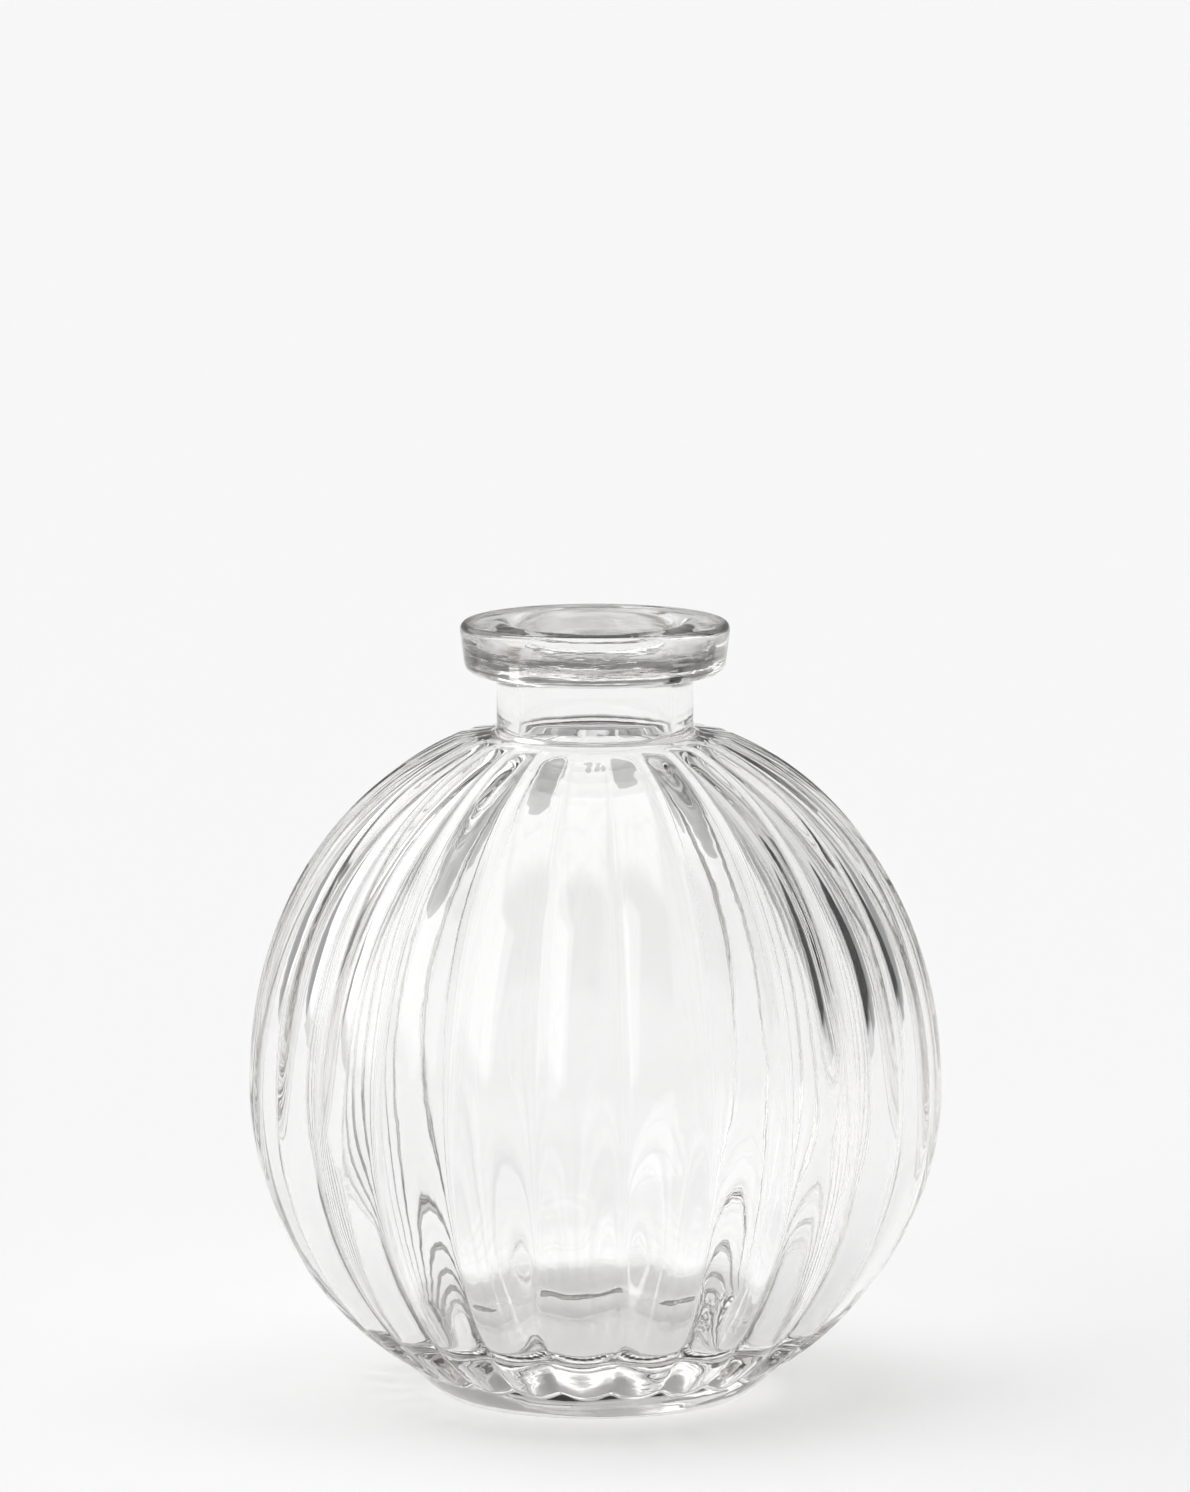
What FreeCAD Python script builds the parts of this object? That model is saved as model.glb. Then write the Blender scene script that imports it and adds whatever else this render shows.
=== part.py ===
"""Ribbed globe bud vase in clear moulded glass.

The real vase is one continuous wall of glass.  It is written here as the six zones that a
glassmaker names on any bottle, from the top down: lip, neck, shoulder, belly, heel and base.
Each zone is its own solid, and neighbours meet face to face on a level plane.

Millimetres, +Z up.  The origin is the middle of the circle that the vase stands on.
"""

import FreeCAD, Part
import math
import os

from FreeCAD import Vector

# Overall shape of the globe, measured over the crests of its lobes.
GLOBE_RADIUS = 44.6
GLOBE_CENTRE_Z = 39.5
SHOULDER_RISE = 49.05  # from the globe's centre to where its upper curve would close
SHOULDER_FULLNESS = 2.11  # exponent of the upper curve: 2 is an ellipse, more is fuller
SHOULDER_TOP_Z = 85.45  # the level ring round the neck's root, where the lobes start
HEEL_DROP = 42.5  # from the globe's centre to where its lower curve would close

# The lobes that run from the neck to the foot like those of a pumpkin.
LOBES = 24
LOBE_DEPTH = 1.7  # crest to valley at the belly
VALLEY_SOFTNESS = 0.2  # 0 gives knife-sharp valleys, 1 gives plain waves
LOBE_FADE_UP = 0.5  # exponent of the depth's growth from the neck outwards
LOBE_FADE_DOWN = 0.8  # and of its loss from the belly in to the foot
INSIDE_LOBE_DEPTH = 1.4  # the same lobes on the inside of the shoulder
INSIDE_LOBE_FULL_Z = 50.0  # they start to thin out here
INSIDE_LOBE_END_Z = 20.0  # and the inside is plain below this level

# The wall.
BELLY_WALL = 3.0  # over a crest
SHOULDER_WALL = 3.0
HEEL_WALL = 2.5
FLOOR_Z = 10.2  # the flat floor of the inside
FLOOR_CORNER = 2.2  # how far in from its sharp corner the floor's edge starts to turn up
FLOOR_CORNER_RISE = 1.8  # how far up the wall that turn runs

# Neck and lip.
NECK_RADIUS = 12.6
NECK_WALL = 2.8
NECK_COVE = 1.5  # radius of the cove where the neck rises from the shoulder
TOTAL_HEIGHT = 100.0
LIP_RADIUS = 17.3
LIP_HEIGHT = 6.6
LIP_TAPER = 0.5  # how much the lip's side draws in from top to bottom
LIP_TOP_ROUND = 1.0
LIP_UNDER_ROUND = 1.6
MOUTH_FLARE = 2.6  # how much wider the mouth is than the bore
MOUTH_DEPTH = 3.0  # how far down the flare runs

# Foot.
CONTACT_RADIUS = 19.4  # outer edge of the ring that the vase stands on
CONTACT_WIDTH = 2.4
HEEL_ROUND = 13.0  # radius of the smooth arc that rises from that edge
HEEL_LEAN = math.radians(28.0)  # slope of the arc where it leaves the edge
HEEL_TOP_Z = 7.0  # the arc ends at this level, inside the lobes
PUSH_UP = 1.4  # rise of the underside's hollow

# Level planes between the zones.
BELLY_TOP_Z = 62.0
BELLY_BOTTOM_Z = 25.0
BASE_TOP_Z = FLOOR_Z + FLOOR_CORNER_RISE

# How finely a lobed section and a lofted zone are drawn.
POINTS_PER_LOBE = 8
SECTION_STEP = 5.0

BORE_RADIUS = NECK_RADIUS - NECK_WALL
NECK_ROOT_RADIUS = NECK_RADIUS + NECK_COVE
INSIDE_RADIUS = GLOBE_RADIUS - BELLY_WALL
INSIDE_RISE = SHOULDER_RISE - SHOULDER_WALL
INSIDE_DROP = HEEL_DROP - HEEL_WALL
LIP_BOTTOM_Z = TOTAL_HEIGHT - LIP_HEIGHT


def globe_curve(z, radius, rise, drop):
    """Radius at height z of a curve that is widest at the globe's centre."""
    above = z - GLOBE_CENTRE_Z
    reach, power = (rise, SHOULDER_FULLNESS) if above > 0 else (drop, 2.0)
    left = max(0.0, 1.0 - (abs(above) / reach) ** power)
    return radius * left ** (1.0 / power)


def crest_radius(z):
    """Outside radius over the lobes' crests."""
    return globe_curve(z, GLOBE_RADIUS, SHOULDER_RISE, HEEL_DROP)


def inside_radius(z):
    """Inside radius over the inside lobes' crests."""
    return globe_curve(z, INSIDE_RADIUS, INSIDE_RISE, INSIDE_DROP)


def height_above(radius, outer, rise):
    """Height on a curve's upper half where it has come in to that radius."""
    left = 1.0 - (radius / outer) ** SHOULDER_FULLNESS
    return GLOBE_CENTRE_Z + rise * left ** (1.0 / SHOULDER_FULLNESS)


THROAT_Z = height_above(NECK_ROOT_RADIUS, INSIDE_RADIUS, INSIDE_RISE)


def faded_depth(radius, full_depth, full_radius, power):
    """Crest-to-valley depth, which grows from nothing at the neck's root."""
    share = (radius - NECK_ROOT_RADIUS) / (full_radius - NECK_ROOT_RADIUS)
    return full_depth * max(0.0, share) ** power


def lobe_depth(z):
    """Outside depth: the lobes grow out of the neck's root and thin out again under the heel."""
    power = LOBE_FADE_UP if z > GLOBE_CENTRE_Z else LOBE_FADE_DOWN
    return faded_depth(crest_radius(z), LOBE_DEPTH, GLOBE_RADIUS, power)


def inside_lobe_depth(z):
    """Inside depth: the lobes are full over the shoulder and gone below the belly."""
    depth = faded_depth(inside_radius(z), INSIDE_LOBE_DEPTH, INSIDE_RADIUS, LOBE_FADE_UP)
    t = (z - INSIDE_LOBE_END_Z) / (INSIDE_LOBE_FULL_Z - INSIDE_LOBE_END_Z)
    t = min(1.0, max(0.0, t))
    return depth * t * t * (3.0 - 2.0 * t)


def valley_share(angle):
    """0 on a crest and 1 in a valley, with wide round crests and narrower soft valleys."""
    wave = math.cos(angle * LOBES / 2.0)
    top = math.sqrt(1.0 + VALLEY_SOFTNESS**2)
    here = math.sqrt(wave**2 + VALLEY_SOFTNESS**2)
    return (top - here) / (top - VALLEY_SOFTNESS)


def lobed_wire(z, crest, depth):
    """Closed level outline at height z.  A crest faces -Y."""
    count = LOBES * POINTS_PER_LOBE
    turns = [2.0 * math.pi * i / count for i in range(count + 1)]
    points = []
    for angle in turns[:-1]:
        r = crest - depth * valley_share(angle)
        points.append(Vector(r * math.cos(angle), r * math.sin(angle), z))
    curve = Part.BSplineCurve()
    curve.interpolate(Points=points, PeriodicFlag=True, Parameters=turns)
    return Part.Wire(curve.toShape())


def heights(low, high, radius_at):
    """Section heights from low to high, spaced evenly along the curve that radius_at gives."""
    fine = 200
    zs = [low + (high - low) * i / fine for i in range(fine + 1)]
    run = [0.0]
    for a, b in zip(zs, zs[1:]):
        run.append(run[-1] + math.hypot(b - a, radius_at(b) - radius_at(a)))
    steps = max(3, math.ceil(run[-1] / SECTION_STEP))
    picked = [low]
    for k in range(1, steps):
        target = run[-1] * k / steps
        i = next(n for n, length in enumerate(run) if length >= target)
        picked.append(zs[i])
    return picked + [high]


def lobed_solid(low, high, radius_at, depth_at):
    """Solid globe zone between two levels, with lobes on its side."""
    wires = [lobed_wire(z, radius_at(z), depth_at(z)) for z in heights(low, high, radius_at)]
    return Part.makeLoft(wires, True, False)


def revolved(edges):
    """Solid of revolution about Z from a closed profile in the XZ plane."""
    face = Part.Face(Part.Wire(edges))
    return face.revolve(Vector(0, 0, 0), Vector(0, 0, 1), 360)


def line(x0, z0, x1, z1):
    return Part.LineSegment(Vector(x0, 0, z0), Vector(x1, 0, z1)).toShape()


def corner_arc(x0, z0, x1, z1, cx, cz, radius, bulge_x, bulge_z):
    """Quarter-round from one point to another, through the middle of its bulge."""
    reach = radius / math.sqrt(2.0)
    middle = Vector(cx + bulge_x * reach, 0, cz + bulge_z * reach)
    return Part.Arc(Vector(x0, 0, z0), middle, Vector(x1, 0, z1)).toShape()


def globe_zone(low, high):
    """Ring of the globe's wall between two levels."""
    outside = lobed_solid(low, high, crest_radius, lobe_depth)
    return outside.cut(lobed_solid(low, high, inside_radius, inside_lobe_depth))


def throat():
    """The hollow where the inside of the shoulder turns up into the bore."""
    slope = (THROAT_Z - height_above(NECK_ROOT_RADIUS - 0.1, INSIDE_RADIUS, INSIDE_RISE)) / 0.1
    corner_z = THROAT_Z - slope * (NECK_ROOT_RADIUS - BORE_RADIUS)
    turn = Part.BezierCurve()
    turn.setPoles([
        Vector(NECK_ROOT_RADIUS, 0, THROAT_Z),
        Vector(BORE_RADIUS, 0, corner_z),
        Vector(BORE_RADIUS, 0, SHOULDER_TOP_Z),
    ])
    return revolved([
        line(0, THROAT_Z, NECK_ROOT_RADIUS, THROAT_Z),
        turn.toShape(),
        line(BORE_RADIUS, SHOULDER_TOP_Z, 0, SHOULDER_TOP_Z),
        line(0, SHOULDER_TOP_Z, 0, THROAT_Z),
    ])


def shoulder():
    """The globe's upper wall, closed in to the bore at its top."""
    outside = lobed_solid(BELLY_TOP_Z, SHOULDER_TOP_Z, crest_radius, lobe_depth)
    inside = lobed_solid(BELLY_TOP_Z, THROAT_Z, inside_radius, inside_lobe_depth)
    return outside.cut(inside.fuse(throat()))


def heel_radius(z):
    """Radius of the smooth foot's arc at height z."""
    centre_x = CONTACT_RADIUS - HEEL_ROUND * math.sin(HEEL_LEAN)
    centre_z = HEEL_ROUND * math.cos(HEEL_LEAN)
    return centre_x + math.sqrt(HEEL_ROUND**2 - (centre_z - z) ** 2)


def base():
    """Thick bottom: lobes run out over a smooth round foot, with a hollow underneath."""
    inner_contact = CONTACT_RADIUS - CONTACT_WIDTH
    middle_z = HEEL_TOP_Z / 2.0
    heel = Part.Arc(
        Vector(heel_radius(HEEL_TOP_Z), 0, HEEL_TOP_Z),
        Vector(heel_radius(middle_z), 0, middle_z),
        Vector(CONTACT_RADIUS, 0, 0),
    ).toShape()
    foot = revolved([
        line(0, PUSH_UP, 0, HEEL_TOP_Z),
        line(0, HEEL_TOP_Z, heel_radius(HEEL_TOP_Z), HEEL_TOP_Z),
        heel,
        line(CONTACT_RADIUS, 0, inner_contact, 0),
        push_up_arc(inner_contact),
    ])
    body = lobed_solid(lobes_low_z(), BASE_TOP_Z, crest_radius, lobe_depth)
    return body.fuse(foot).cut(floor_bowl())


def lobes_low_z():
    """A level well below the wavy line where the lobes come out of the foot."""
    z = HEEL_TOP_Z
    while crest_radius(z) > heel_radius(z):
        z -= 0.1
    return max(0.0, z - 1.0)


def push_up_arc(inner_contact):
    """Shallow dome of the underside, from the standing ring to the axis."""
    half = inner_contact / 2.0
    dome = (inner_contact**2 + PUSH_UP**2) / (2.0 * PUSH_UP)
    middle_z = PUSH_UP - dome + math.sqrt(dome**2 - half**2)
    return Part.Arc(
        Vector(inner_contact, 0, 0), Vector(half, 0, middle_z), Vector(0, 0, PUSH_UP)
    ).toShape()


def floor_bowl():
    """Bottom of the hollow: a flat floor that turns up into the wall."""
    rim = inside_radius(BASE_TOP_Z)
    slope = (inside_radius(BASE_TOP_Z + 0.1) - rim) / 0.1
    corner = rim - slope * FLOOR_CORNER_RISE
    flat = corner - FLOOR_CORNER
    turn = Part.BezierCurve()
    turn.setPoles([Vector(flat, 0, FLOOR_Z), Vector(corner, 0, FLOOR_Z), Vector(rim, 0, BASE_TOP_Z)])
    return revolved([
        line(0, FLOOR_Z, flat, FLOOR_Z),
        turn.toShape(),
        line(rim, BASE_TOP_Z, 0, BASE_TOP_Z),
        line(0, BASE_TOP_Z, 0, FLOOR_Z),
    ])


def neck():
    """Plain tube that rises from the shoulder through a small cove."""
    cove_top = SHOULDER_TOP_Z + NECK_COVE
    profile = [
        line(BORE_RADIUS, SHOULDER_TOP_Z, NECK_ROOT_RADIUS, SHOULDER_TOP_Z),
        corner_arc(NECK_ROOT_RADIUS, SHOULDER_TOP_Z, NECK_RADIUS, cove_top,
                   NECK_ROOT_RADIUS, cove_top, NECK_COVE, -1, -1),
        line(NECK_RADIUS, cove_top, NECK_RADIUS, LIP_BOTTOM_Z),
        line(NECK_RADIUS, LIP_BOTTOM_Z, BORE_RADIUS, LIP_BOTTOM_Z),
        line(BORE_RADIUS, LIP_BOTTOM_Z, BORE_RADIUS, SHOULDER_TOP_Z),
    ]
    return revolved(profile)


def lip():
    """Heavy flat ring round the mouth, with round edges and a flared mouth."""
    foot_radius = LIP_RADIUS - LIP_TAPER
    top_edge = LIP_RADIUS - LIP_TOP_ROUND
    under_edge = foot_radius - LIP_UNDER_ROUND
    mouth_radius = BORE_RADIUS + MOUTH_FLARE
    mouth_low_z = TOTAL_HEIGHT - MOUTH_DEPTH
    flare = Part.BezierCurve()
    flare.setPoles([
        Vector(mouth_radius, 0, TOTAL_HEIGHT),
        Vector(BORE_RADIUS, 0, TOTAL_HEIGHT),
        Vector(BORE_RADIUS, 0, mouth_low_z),
    ])
    return revolved([
        line(BORE_RADIUS, LIP_BOTTOM_Z, under_edge, LIP_BOTTOM_Z),
        corner_arc(under_edge, LIP_BOTTOM_Z, foot_radius, LIP_BOTTOM_Z + LIP_UNDER_ROUND,
                   under_edge, LIP_BOTTOM_Z + LIP_UNDER_ROUND, LIP_UNDER_ROUND, 1, -1),
        line(foot_radius, LIP_BOTTOM_Z + LIP_UNDER_ROUND,
             LIP_RADIUS, TOTAL_HEIGHT - LIP_TOP_ROUND),
        corner_arc(LIP_RADIUS, TOTAL_HEIGHT - LIP_TOP_ROUND, top_edge, TOTAL_HEIGHT,
                   top_edge, TOTAL_HEIGHT - LIP_TOP_ROUND, LIP_TOP_ROUND, 1, 1),
        line(top_edge, TOTAL_HEIGHT, mouth_radius, TOTAL_HEIGHT),
        flare.toShape(),
        line(BORE_RADIUS, mouth_low_z, BORE_RADIUS, LIP_BOTTOM_Z),
    ])


def main():
    zones = {
        "lip": lip(),
        "neck": neck(),
        "shoulder": shoulder(),
        "belly": globe_zone(BELLY_BOTTOM_Z, BELLY_TOP_Z),
        "heel": globe_zone(BASE_TOP_Z, BELLY_BOTTOM_Z),
        "base": base(),
    }
    os.makedirs("parts", exist_ok=True)
    for name, shape in zones.items():
        for solid in shape.Solids:
            print(name, "valid" if solid.isValid() else "NOT VALID", round(solid.Volume, 1), "mm3")
        shape.exportStep(f"parts/{name}.step")


main()
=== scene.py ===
"""Looks of the ribbed globe bud vase: one closed wall of clear glass in a pale studio."""

import math

import bmesh
import bpy
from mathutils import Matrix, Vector


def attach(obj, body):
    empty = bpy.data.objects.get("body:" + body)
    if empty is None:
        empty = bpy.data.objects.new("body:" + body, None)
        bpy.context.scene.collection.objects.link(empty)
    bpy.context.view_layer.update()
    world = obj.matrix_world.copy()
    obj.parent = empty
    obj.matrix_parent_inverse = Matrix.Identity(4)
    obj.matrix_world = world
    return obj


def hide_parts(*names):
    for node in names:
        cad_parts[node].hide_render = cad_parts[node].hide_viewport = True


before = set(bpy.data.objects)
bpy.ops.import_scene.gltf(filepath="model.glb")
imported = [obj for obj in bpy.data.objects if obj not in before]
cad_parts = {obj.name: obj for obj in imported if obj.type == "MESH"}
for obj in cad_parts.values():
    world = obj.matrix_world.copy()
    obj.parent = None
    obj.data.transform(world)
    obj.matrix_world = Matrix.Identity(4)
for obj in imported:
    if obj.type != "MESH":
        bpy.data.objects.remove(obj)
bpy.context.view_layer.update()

MM = 0.001

# The design's own sizes, in millimetres as in the CAD source.
GLOBE_RADIUS = 44.6
GLOBE_CENTRE_Z = 39.5
SHOULDER_RISE = 49.05
SHOULDER_FULLNESS = 2.11
SHOULDER_TOP_Z = 85.45
HEEL_DROP = 42.5
LOBES = 24
LOBE_DEPTH = 1.7
VALLEY_SOFTNESS = 0.2
LOBE_FADE_UP = 0.5
LOBE_FADE_DOWN = 0.8
INSIDE_LOBE_DEPTH = 1.4
INSIDE_LOBE_FULL_Z = 50.0
INSIDE_LOBE_END_Z = 20.0
BELLY_WALL = 3.0
SHOULDER_WALL = 3.0
HEEL_WALL = 2.5
FLOOR_Z = 10.2
FLOOR_CORNER = 2.2
FLOOR_CORNER_RISE = 1.8
NECK_RADIUS = 12.6
BORE_RADIUS = 9.8
NECK_COVE = 1.5
TOTAL_HEIGHT = 100.0
LIP_RADIUS = 17.3
LIP_HEIGHT = 6.6
LIP_TAPER = 0.5
LIP_TOP_ROUND = 1.0
LIP_UNDER_ROUND = 1.6
MOUTH_FLARE = 2.6
MOUTH_DEPTH = 3.0
CONTACT_RADIUS = 19.4
CONTACT_WIDTH = 2.4
HEEL_ROUND = 13.0
HEEL_LEAN = math.radians(28.0)
HEEL_TOP_Z = 7.0
PUSH_UP = 1.4

NECK_ROOT_RADIUS = NECK_RADIUS + NECK_COVE
INSIDE_RADIUS = GLOBE_RADIUS - BELLY_WALL
INSIDE_RISE = SHOULDER_RISE - SHOULDER_WALL
INSIDE_DROP = HEEL_DROP - HEEL_WALL
BASE_TOP_Z = FLOOR_Z + FLOOR_CORNER_RISE
COVE_TOP_Z = SHOULDER_TOP_Z + NECK_COVE
LIP_BOTTOM_Z = TOTAL_HEIGHT - LIP_HEIGHT

# Studio light by direction: azimuth from the front (+ to the right), elevation, both in degrees,
# half width, half height and soft edge as tangents, and radiance.
ROOM_LIGHT = 0.71
PANELS = [  # overhead, front above, left, left front, low behind, right behind
    (0, 88, 0.6, 0.6, 0.15, 1.7),
    (0, 50, 0.9, 0.35, 0.1, 0.15),
    (-95, 30, 1.2, 0.45, 0.1, 1.73),
    (-42, 25, 0.2, 0.42, 0.04, 1.95),
    (180, 10, 1.6, 0.18, 0.08, 0.28),
    (118, 16, 0.25, 0.22, 0.03, 0.01),
]
BACKDROP_LIGHT = 0.94  # what the camera sees directly

# The inside of the wall strays this far, in millimetres, from its formula, as gathered glass does.
WANDER = 0.06

# The mesh's columns, and how strongly they draw together in the valleys.
COLUMNS_PER_LOBE = 16
VALLEY_CROWDING = 0.5

# The mesh's rows, from under the foot, up the outside, down the inside and in to the floor's middle.
UNDER_ROWS = 8
HEEL_ROWS = 14
LOW_SIDE_ROWS = 36
HIGH_SIDE_ROWS = 44
COVE_ROWS = 6
TUBE_ROWS = 4
LIP_ROOT_ROWS = 4
FLAT_ROWS = 3
LIP_UNDER_ROWS = 8
LIP_SIDE_ROWS = 4
LIP_TOP_ROWS = 7
MOUTH_ROWS = 8
BORE_ROWS = 6
THROAT_ROWS = 10
INSIDE_HIGH_ROWS = 38
INSIDE_LOW_ROWS = 30
FLOOR_CORNER_ROWS = 12
FLOOR_ROWS = 6
POLE_RADIUS = 0.4
LIP_ROOT_ROUND = 0.4
SLOPE_STEP = 0.1

# Glass: its refraction and body colour, then the unevenness of its polish and skin, all over and
# on the lip.  Scales are per metre and bump depths in metres.
GLASS_IOR = 1.52
GLASS_BODY = (0.77, 0.755, 0.73, 1.0)
GLASS_DENSITY = 20.0
POLISH_SCALE = 60.0
ROUGHEST = 0.03
SKIN_SCALE = 160.0
SKIN_DEPTH = 0.0004
SKIN_STRENGTH = 0.1
LIP_BLEND = 0.5
LIP_STREAK_SCALE = 90.0
LIP_STREAK_SQUASH = 9.0
LIP_STREAK_DEPTH = 0.0003
LIP_STREAK_STRENGTH = 0.3

# The painted reflection: a dark band painted into the colour round the lip's side, standing for the
# dark room reflected and refracted in the lip.  Its middle's height over the lip's underside, half its
# height, the share of that half in full strength, the radii between which it starts, and its colour.
LIP_PAINTED_REFLECTION_RISE = 2.7
LIP_PAINTED_REFLECTION_HALF = 1.8
LIP_PAINTED_REFLECTION_CORE = 0.2
LIP_PAINTED_REFLECTION_RADII = (14.5, 15.5)
LIP_PAINTED_REFLECTION_COLOUR = (0.11, 0.095, 0.078, 1.0)
LIP_PAINTED_REFLECTION_SCALE = 60.0
LIP_PAINTED_REFLECTION_SQUASH = 14.0

# The camera stands this far from the vase's axis and above the table, in metres, and this many
# degrees to the right of the front; it aims at this height and takes in this much there.
CAMERA_AWAY = 1.29
CAMERA_HEIGHT = 0.277
CAMERA_AZIMUTH = 2.7
AIM_HEIGHT = 0.0838
FRAME_HEIGHT = 0.1911
SENSOR = 36.0

# The table's white sheet, in metres: it lies just under the foot, clear of it.
FLOOR_REACH = 6.0
FLOOR_SEGMENTS = 96
FLOOR_GAP = 0.00005
FLOOR_COLOUR = (0.9, 0.9, 0.9, 1.0)

# How often light may bounce in the glass.
GLASS_BOUNCES = 24
OTHER_BOUNCES = 16


def height_above(radius, outer, rise):
    left = 1.0 - (radius / outer) ** SHOULDER_FULLNESS
    return GLOBE_CENTRE_Z + rise * left ** (1.0 / SHOULDER_FULLNESS)


THROAT_Z = height_above(NECK_ROOT_RADIUS, INSIDE_RADIUS, INSIDE_RISE)


def globe_curve(z, radius, rise, drop):
    above = z - GLOBE_CENTRE_Z
    reach, power = (rise, SHOULDER_FULLNESS) if above > 0 else (drop, 2.0)
    left = max(0.0, 1.0 - (abs(above) / reach) ** power)
    return radius * left ** (1.0 / power)


def crest_radius(z):
    return globe_curve(z, GLOBE_RADIUS, SHOULDER_RISE, HEEL_DROP)


def inside_radius(z):
    return globe_curve(z, INSIDE_RADIUS, INSIDE_RISE, INSIDE_DROP)


def faded_depth(radius, full_depth, full_radius, power):
    share = (radius - NECK_ROOT_RADIUS) / (full_radius - NECK_ROOT_RADIUS)
    return full_depth * max(0.0, share) ** power


def lobe_depth(z):
    """Outside depth: the lobes grow out of the neck's root and thin out again under the heel."""
    power = LOBE_FADE_UP if z > GLOBE_CENTRE_Z else LOBE_FADE_DOWN
    return faded_depth(crest_radius(z), LOBE_DEPTH, GLOBE_RADIUS, power)


def inside_lobe_depth(z):
    """Inside depth: the lobes are full over the shoulder and gone below the belly."""
    depth = faded_depth(inside_radius(z), INSIDE_LOBE_DEPTH, INSIDE_RADIUS, LOBE_FADE_UP)
    t = (z - INSIDE_LOBE_END_Z) / (INSIDE_LOBE_FULL_Z - INSIDE_LOBE_END_Z)
    t = min(1.0, max(0.0, t))
    return depth * t * t * (3.0 - 2.0 * t)


def valley_share(angle):
    wave = math.cos(angle * LOBES / 2.0)
    top = math.sqrt(1.0 + VALLEY_SOFTNESS**2)
    here = math.sqrt(wave**2 + VALLEY_SOFTNESS**2)
    return (top - here) / (top - VALLEY_SOFTNESS)


def heel_radius(z):
    """Outside radius of the smooth round foot."""
    centre_x = CONTACT_RADIUS - HEEL_ROUND * math.sin(HEEL_LEAN)
    centre_z = HEEL_ROUND * math.cos(HEEL_LEAN)
    return centre_x + math.sqrt(HEEL_ROUND**2 - (centre_z - z) ** 2)


def arc(cx, cz, radius, start, end, count):
    """Points on an arc in a meridian plane, its last one left off."""
    for i in range(count):
        a = math.radians(start + (end - start) * i / count)
        yield cx + radius * math.cos(a), cz + radius * math.sin(a)


def crease_z(share):
    """Height at which a meridian's lobed side comes out of the smooth foot."""
    low, high = 0.5, HEEL_TOP_Z
    for _ in range(40):
        z = (low + high) / 2.0
        if crest_radius(z) - lobe_depth(z) * share > heel_radius(z):
            high = z
        else:
            low = z
    return (low + high) / 2.0


def spread(low, high, count):
    """Even values from low up to but not including high."""
    for i in range(count):
        yield low + (high - low) * i / count


def curve(start, corner, end, count):
    """Points on a quadratic curve, its last one left off; its ends run along the lines to the corner."""
    for t in spread(0.0, 1.0, count):
        weights = (1.0 - t) ** 2, 2.0 * t * (1.0 - t), t * t
        yield tuple(sum(w * p[k] for w, p in zip(weights, (start, corner, end))) for k in (0, 1))


def wander(angle, z):
    """How far the inside strays from its formula, as gathered glass does."""
    share = (z - BASE_TOP_Z) / (THROAT_Z - BASE_TOP_Z)
    waves = math.sin(3.0 * angle + 0.11 * z + 0.6)
    waves += math.sin(7.0 * angle - 0.07 * z + 1.3)
    waves += 0.7 * math.sin(11.0 * angle + 0.16 * z + 2.1)
    waves += 0.5 * math.sin(19.0 * angle - 0.21 * z + 4.0)
    return WANDER * waves * math.sin(math.pi * min(1.0, max(0.0, share)))


def foot_rows(share):
    """The hollow underside, the ring that the vase stands on and the smooth round foot."""
    inner = CONTACT_RADIUS - CONTACT_WIDTH
    dome = (inner**2 + PUSH_UP**2) / (2.0 * PUSH_UP)
    for r in spread(POLE_RADIUS, inner, UNDER_ROWS):
        yield r, PUSH_UP - dome + math.sqrt(dome**2 - r**2)
    yield inner, 0.0
    yield inner + CONTACT_WIDTH / 2.0, 0.0
    for z in spread(0.0, crease_z(share), HEEL_ROWS):
        yield heel_radius(z), z


def outside_rows(share):
    """The lobed outside, evenly by angle about the globe's centre."""
    low = math.asin((crease_z(share) - GLOBE_CENTRE_Z) / HEEL_DROP)
    high = math.asin((SHOULDER_TOP_Z - GLOBE_CENTRE_Z) / SHOULDER_RISE)
    heights = [GLOBE_CENTRE_Z + HEEL_DROP * math.sin(a) for a in spread(low, 0.0, LOW_SIDE_ROWS)]
    heights += [GLOBE_CENTRE_Z + SHOULDER_RISE * math.sin(a) for a in spread(0.0, high, HIGH_SIDE_ROWS)]
    for z in heights:
        yield crest_radius(z) - lobe_depth(z) * share, z


def neck_rows():
    """The cove and the tube of the neck, and the small round where the lip overhangs it."""
    root_z = LIP_BOTTOM_Z - LIP_ROOT_ROUND
    yield from arc(NECK_ROOT_RADIUS, COVE_TOP_Z, NECK_COVE, -90.0, -180.0, COVE_ROWS)
    yield from ((NECK_RADIUS, z) for z in spread(COVE_TOP_Z, root_z, TUBE_ROWS))
    yield from arc(NECK_RADIUS + LIP_ROOT_ROUND, root_z, LIP_ROOT_ROUND, 180.0, 90.0, LIP_ROOT_ROWS)


def lip_rows():
    """The ring lip, out from the neck, up its side and in over its top to the mouth."""
    foot = LIP_RADIUS - LIP_TAPER
    under = foot - LIP_UNDER_ROUND
    side_low, side_high = LIP_BOTTOM_Z + LIP_UNDER_ROUND, TOTAL_HEIGHT - LIP_TOP_ROUND
    top = LIP_RADIUS - LIP_TOP_ROUND
    yield from ((r, LIP_BOTTOM_Z) for r in spread(NECK_RADIUS + LIP_ROOT_ROUND, under, FLAT_ROWS))
    yield from arc(under, side_low, LIP_UNDER_ROUND, -90.0, 0.0, LIP_UNDER_ROWS)
    for z in spread(side_low, side_high, LIP_SIDE_ROWS):
        yield foot + LIP_TAPER * (z - side_low) / (side_high - side_low), z
    yield from arc(top, side_high, LIP_TOP_ROUND, 0.0, 90.0, LIP_TOP_ROWS)
    yield from ((r, TOTAL_HEIGHT) for r in spread(top, BORE_RADIUS + MOUTH_FLARE, FLAT_ROWS))


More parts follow.
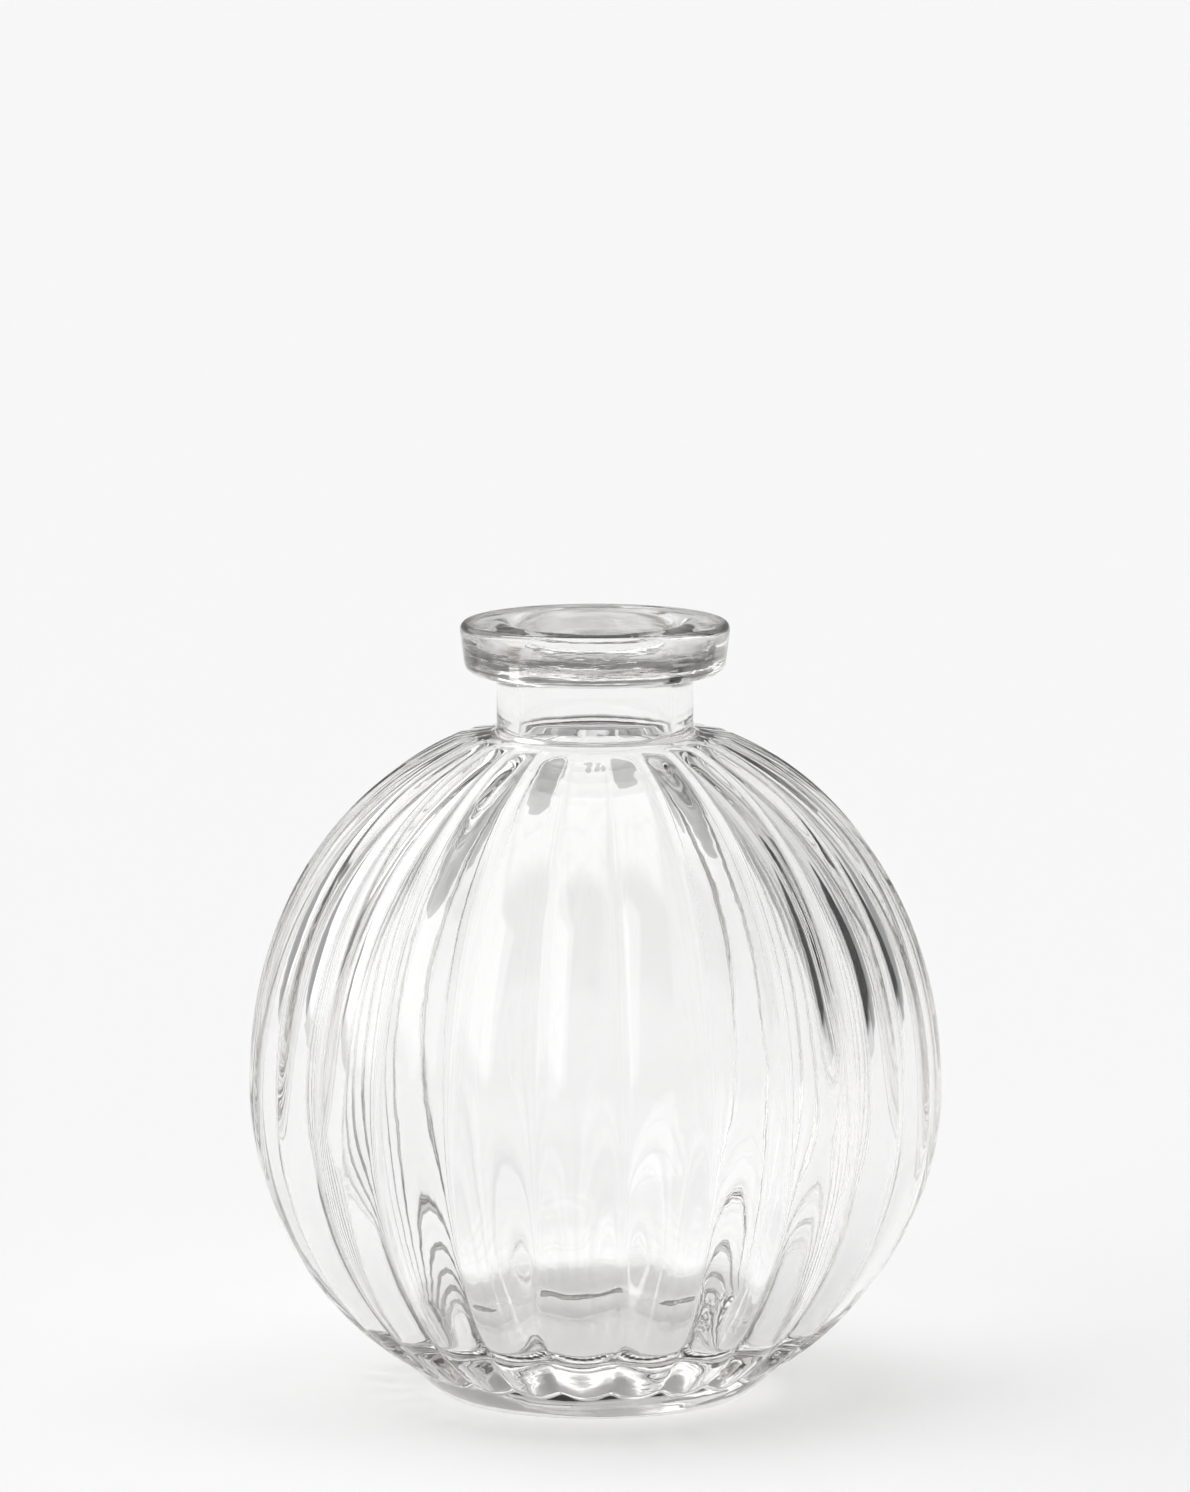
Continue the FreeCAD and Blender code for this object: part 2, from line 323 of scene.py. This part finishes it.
def bore_rows():
    """The flared mouth, the bore and the throat that opens into the globe."""
    flared, corner = (BORE_RADIUS + MOUTH_FLARE, TOTAL_HEIGHT), (BORE_RADIUS, TOTAL_HEIGHT)
    straight = (BORE_RADIUS, TOTAL_HEIGHT - MOUTH_DEPTH)
    yield from curve(flared, corner, straight, MOUTH_ROWS)
    yield from ((BORE_RADIUS, z) for z in spread(straight[1], SHOULDER_TOP_Z, BORE_ROWS))
    beside = height_above(NECK_ROOT_RADIUS - SLOPE_STEP, INSIDE_RADIUS, INSIDE_RISE)
    slope = (THROAT_Z - beside) / SLOPE_STEP
    corner = (BORE_RADIUS, THROAT_Z - slope * (NECK_ROOT_RADIUS - BORE_RADIUS))
    yield from curve((BORE_RADIUS, SHOULDER_TOP_Z), corner, (NECK_ROOT_RADIUS, THROAT_Z), THROAT_ROWS)


def inside_rows(angle, share):
    """The inside of the globe, evenly by angle about its centre, with its shallower lobes."""
    high = math.asin((THROAT_Z - GLOBE_CENTRE_Z) / INSIDE_RISE)
    low = math.asin((BASE_TOP_Z - GLOBE_CENTRE_Z) / INSIDE_DROP)
    heights = [GLOBE_CENTRE_Z + INSIDE_RISE * math.sin(a) for a in spread(high, 0.0, INSIDE_HIGH_ROWS)]
    heights += [GLOBE_CENTRE_Z + INSIDE_DROP * math.sin(a) for a in spread(0.0, low, INSIDE_LOW_ROWS)]
    for z in heights:
        yield inside_radius(z) - inside_lobe_depth(z) * share + wander(angle, z), z


def floor_rows():
    """The round corner at the bottom of the inside, and the flat floor."""
    rim = inside_radius(BASE_TOP_Z)
    slope = (inside_radius(BASE_TOP_Z + SLOPE_STEP) - rim) / SLOPE_STEP
    corner = rim - slope * FLOOR_CORNER_RISE
    flat = corner - FLOOR_CORNER
    yield from curve((rim, BASE_TOP_Z), (corner, FLOOR_Z), (flat, FLOOR_Z), FLOOR_CORNER_ROWS)
    yield from ((r, FLOOR_Z) for r in spread(flat, POLE_RADIUS, FLOOR_ROWS))


def meridian(angle):
    """One meridian of the closed wall as (radius, height) points, from under the foot to the floor."""
    share = valley_share(angle)
    points = [*foot_rows(share), *outside_rows(share), *neck_rows(), *lip_rows()]
    points += [*bore_rows(), *inside_rows(angle, share), *floor_rows()]
    return points


def column_angles():
    """Angles of the mesh's columns, drawn together in the narrow valleys."""
    count = LOBES * COLUMNS_PER_LOBE
    for i in range(count):
        turn = 2.0 * math.pi * i / count
        yield turn + VALLEY_CROWDING * math.sin(LOBES * turn) / LOBES


def column_points(angle):
    """The meridian's points in space, in millimetres."""
    c, s = math.cos(angle), math.sin(angle)
    return [Vector((r * c, r * s, z)) for r, z in meridian(angle)]


def column_normals(angle, points):
    """Outward normals of the formula's surface, not of the facets that stand for it."""
    turn = 0.0002
    beside = column_points(angle + turn)
    normals = []
    for k, here in enumerate(points):
        below = points[k] - points[max(k - 1, 0)]
        above = points[min(k + 1, len(points) - 1)] - points[k]
        if k == 0 or k == len(points) - 1:
            along = below + above
        else:
            along = below.normalized() * above.length + above.normalized() * below.length
        around = beside[k] - here
        normals.append(around.cross(along).normalized())
    return normals


def glass_wall():
    """The whole vase as one closed mesh."""
    mesh = bpy.data.meshes.new("vase_glass")
    verts, normals = [], []
    for angle in column_angles():
        points = column_points(angle)
        verts += points
        normals += column_normals(angle, points)
    columns = LOBES * COLUMNS_PER_LOBE
    rows = len(verts) // columns
    under, floor = len(verts), len(verts) + 1
    verts += [Vector((0, 0, PUSH_UP)), Vector((0, 0, FLOOR_Z))]
    normals += [Vector((0, 0, -1)), Vector((0, 0, 1))]
    faces = []
    for i in range(columns):
        a, b = i * rows, (i + 1) % columns * rows
        faces.append((under, b, a))
        for k in range(rows - 1):
            faces.append((a + k, b + k, b + k + 1, a + k + 1))
        faces.append((floor, a + rows - 1, b + rows - 1))
    mesh.from_pydata([v * MM for v in verts], [], faces)
    for polygon in mesh.polygons:
        polygon.use_smooth = True
    mesh.normals_split_custom_set_from_vertices(normals)
    piece = bpy.data.objects.new("vase_glass", mesh)
    bpy.context.scene.collection.objects.link(piece)
    return piece


def fill(tree, socket, value):
    """Give a node's socket a plain value, or link another node's output to it."""
    if isinstance(value, bpy.types.NodeSocket):
        tree.links.new(value, socket)
    else:
        socket.default_value = value


def math_node(tree, operation, a, b=0.0):
    node = tree.nodes.new("ShaderNodeMath")
    node.operation = operation
    for socket, value in zip(node.inputs, (a, b)):
        fill(tree, socket, value)
    return node.outputs[0]


def vector_node(tree, operation, a, b=(0.0, 0.0, 0.0)):
    node = tree.nodes.new("ShaderNodeVectorMath")
    node.operation = operation
    fill(tree, node.inputs[0], a)
    fill(tree, node.inputs[1], b)
    return node


def map_node(tree, value, source, target, smooth=False):
    """Map a value from one range to another, held at its ends."""
    node = tree.nodes.new("ShaderNodeMapRange")
    node.interpolation_type = "SMOOTHSTEP" if smooth else "LINEAR"
    names = ("From Min", "From Max", "To Min", "To Max")
    for name, number in zip(names, (*source, *target)):
        node.inputs[name].default_value = number
    tree.links.new(value, node.inputs["Value"])
    return node.outputs["Result"]


def noise_node(tree, place, scale, detail, squash=(1.0, 1.0, 1.0)):
    mapping = tree.nodes.new("ShaderNodeMapping")
    mapping.inputs["Scale"].default_value = squash
    tree.links.new(place, mapping.inputs["Vector"])
    node = tree.nodes.new("ShaderNodeTexNoise")
    node.inputs["Scale"].default_value = scale
    node.inputs["Detail"].default_value = detail
    tree.links.new(mapping.outputs["Vector"], node.inputs["Vector"])
    return node.outputs["Fac"]


def bump_node(tree, height, distance, strength, below=None):
    node = tree.nodes.new("ShaderNodeBump")
    node.inputs["Distance"].default_value = distance
    fill(tree, node.inputs["Strength"], strength)
    tree.links.new(height, node.inputs["Height"])
    if below is not None:
        tree.links.new(below, node.inputs["Normal"])
    return node.outputs["Normal"]


def glass_skin(tree, place, z):
    """Bumps: a faintly uneven skin all over, and streaks drawn round the lip."""
    lip_from = (LIP_BOTTOM_Z - LIP_BLEND) * MM
    lip_to = (LIP_BOTTOM_Z + LIP_BLEND) * MM
    lip_only = map_node(tree, z, (lip_from, lip_to), (0.0, LIP_STREAK_STRENGTH))
    dimples = noise_node(tree, place, SKIN_SCALE, 2.0)
    skin = bump_node(tree, dimples, SKIN_DEPTH, SKIN_STRENGTH)
    streaks = noise_node(tree, place, LIP_STREAK_SCALE, 3.0, (1.0, 1.0, LIP_STREAK_SQUASH))
    return bump_node(tree, streaks, LIP_STREAK_DEPTH, lip_only, skin)


def lip_painted_reflection(tree, place, z):
    """Clear glass with painted reflection: dark streaks round the lip's side, for the dark room in it.
    """
    from_middle = math_node(tree, "SUBTRACT", z, (LIP_BOTTOM_Z + LIP_PAINTED_REFLECTION_RISE) * MM)
    distance = math_node(tree, "ABSOLUTE", from_middle)
    half = LIP_PAINTED_REFLECTION_HALF * MM
    near = map_node(tree, distance, (half, LIP_PAINTED_REFLECTION_CORE * half), (0.0, 1.0))
    level = vector_node(tree, "MULTIPLY", place, (1.0, 1.0, 0.0)).outputs["Vector"]
    radius = vector_node(tree, "LENGTH", level).outputs["Value"]
    edges = [edge * MM for edge in LIP_PAINTED_REFLECTION_RADII]
    outer = map_node(tree, radius, edges, (0.0, 1.0))
    band_noise = noise_node(tree, place, LIP_PAINTED_REFLECTION_SCALE, 4.0, (1.0, 1.0, LIP_PAINTED_REFLECTION_SQUASH))
    streak = map_node(tree, band_noise, (0.35, 0.6), (0.25, 1.0))
    # How strongly the painted reflection's dark band shows at this point.
    painted_reflection = math_node(tree, "MULTIPLY", math_node(tree, "MULTIPLY", near, outer), streak)
    tint = tree.nodes.new("ShaderNodeMix")
    tint.data_type = "RGBA"
    tree.links.new(painted_reflection, tint.inputs["Factor"])
    colour_a, colour_b = [socket for socket in tint.inputs if socket.type == "RGBA"]
    colour_a.default_value = (1.0, 1.0, 1.0, 1.0)
    colour_b.default_value = LIP_PAINTED_REFLECTION_COLOUR
    return next(socket for socket in tint.outputs if socket.type == "RGBA")


def glass_material():
    """Clear moulded glass with a faint grey body colour."""
    material = bpy.data.materials.new("clear_glass")
    material.use_nodes = True
    tree = material.node_tree
    shader = tree.nodes["Principled BSDF"]
    shader.inputs["Transmission Weight"].default_value = 1.0
    shader.inputs["IOR"].default_value = GLASS_IOR
    place = tree.nodes.new("ShaderNodeTexCoord").outputs["Object"]
    split = tree.nodes.new("ShaderNodeSeparateXYZ")
    tree.links.new(place, split.inputs["Vector"])
    z = split.outputs["Z"]
    polish = noise_node(tree, place, POLISH_SCALE, 3.0)
    roughness = map_node(tree, polish, (0.5, 0.8), (0.0, ROUGHEST))
    tree.links.new(roughness, shader.inputs["Roughness"])
    tree.links.new(glass_skin(tree, place, z), shader.inputs["Normal"])
    # The base colour carries the painted reflection: a dark band round the lip, for the dark room seen
    # in it.
    tree.links.new(lip_painted_reflection(tree, place, z), shader.inputs["Base Color"])
    absorption = tree.nodes.new("ShaderNodeVolumeAbsorption")
    absorption.inputs["Color"].default_value = GLASS_BODY
    absorption.inputs["Density"].default_value = GLASS_DENSITY
    tree.links.new(absorption.outputs["Volume"], tree.nodes["Material Output"].inputs["Volume"])
    return material


def studio_floor():
    """A wide sheet of plain white paper."""
    mesh = bpy.data.meshes.new("studio_floor")
    bm = bmesh.new()
    bmesh.ops.create_circle(bm, cap_ends=True, radius=FLOOR_REACH, segments=FLOOR_SEGMENTS)
    bm.to_mesh(mesh)
    bm.free()
    floor = bpy.data.objects.new("studio_floor", mesh)
    floor.location.z = -FLOOR_GAP
    bpy.context.scene.collection.objects.link(floor)
    material = bpy.data.materials.new("white_paper")
    material.use_nodes = True
    shader = material.node_tree.nodes["Principled BSDF"]
    shader.inputs["Base Color"].default_value = FLOOR_COLOUR
    shader.inputs["Roughness"].default_value = 0.9
    shader.inputs["Specular IOR Level"].default_value = 0.1
    mesh.materials.append(material)
    return floor


def camera():
    """The camera, level from side to side, without shift or depth of field."""
    data = bpy.data.cameras.new("camera")
    cam = bpy.data.objects.new("camera", data)
    bpy.context.scene.collection.objects.link(cam)
    bpy.context.scene.camera = cam
    azimuth = math.radians(CAMERA_AZIMUTH)
    aim = Vector((0, 0, AIM_HEIGHT))
    elevation = math.atan2(CAMERA_HEIGHT - AIM_HEIGHT, CAMERA_AWAY)
    distance = math.hypot(CAMERA_AWAY, CAMERA_HEIGHT - AIM_HEIGHT)
    back = Vector((
        math.sin(azimuth) * math.cos(elevation),
        -math.cos(azimuth) * math.cos(elevation),
        math.sin(elevation),
    ))
    cam.location = aim + back * distance
    cam.rotation_mode = "QUATERNION"
    cam.rotation_quaternion = (-back).to_track_quat("-Z", "Y")
    data.sensor_width = SENSOR
    data.lens = SENSOR / 2.0 / (FRAME_HEIGHT / 2.0 / distance)
    data.clip_start = 0.1
    data.clip_end = 50.0
    return cam


def panel_mask(tree, direction, azimuth, elevation, half_sizes, soft):
    """1 for directions inside a soft-edged rectangle that faces the vase, 0 outside it."""
    az, el = math.radians(azimuth), math.radians(elevation)
    front = Vector((math.sin(az) * math.cos(el), -math.cos(az) * math.cos(el), math.sin(el)))
    right = Vector((math.cos(az), math.sin(az), 0.0))
    ahead = vector_node(tree, "DOT_PRODUCT", direction, front).outputs["Value"]
    ahead = math_node(tree, "MAXIMUM", ahead, 0.001)
    sides = []
    for axis, half in zip((right, right.cross(-front)), half_sizes):
        offset = vector_node(tree, "DOT_PRODUCT", direction, axis).outputs["Value"]
        offset = math_node(tree, "ABSOLUTE", math_node(tree, "DIVIDE", offset, ahead))
        sides.append(map_node(tree, offset, (half + soft, half - soft), (0.0, 1.0), smooth=True))
    return math_node(tree, "MULTIPLY", *sides)


def studio_world():
    """Soft studio light all round: a white room with panels brighter or darker than it."""
    world = bpy.data.worlds.new("studio")
    bpy.context.scene.world = world
    world.use_nodes = True
    tree = world.node_tree
    direction = tree.nodes.new("ShaderNodeTexCoord").outputs["Generated"]
    light = ROOM_LIGHT
    for azimuth, elevation, half_width, half_height, soft, strength in PANELS:
        mask = panel_mask(tree, direction, azimuth, elevation, (half_width, half_height), soft)
        change = math_node(tree, "SUBTRACT", strength, light)
        light = math_node(tree, "ADD", math_node(tree, "MULTIPLY", mask, change), light)
    background = tree.nodes["Background"]
    background.inputs["Color"].default_value = (1.0, 1.0, 1.0, 1.0)
    seen = tree.nodes.new("ShaderNodeLightPath").outputs["Is Camera Ray"]
    plain = math_node(tree, "MULTIPLY", seen, math_node(tree, "SUBTRACT", BACKDROP_LIGHT, light))
    tree.links.new(math_node(tree, "ADD", plain, light), background.inputs["Strength"])


def main():
    wall = glass_wall()
    wall.data.materials.append(glass_material())
    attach(wall, "root")
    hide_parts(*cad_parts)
    studio_floor()
    camera()
    studio_world()
    scene = bpy.context.scene
    scene.view_settings.view_transform = "Standard"
    scene.cycles.max_bounces = GLASS_BOUNCES
    scene.cycles.blur_glossy = 0.0
    scene.cycles.transmission_bounces = GLASS_BOUNCES
    scene.cycles.glossy_bounces = OTHER_BOUNCES
    scene.cycles.transparent_max_bounces = OTHER_BOUNCES


main()
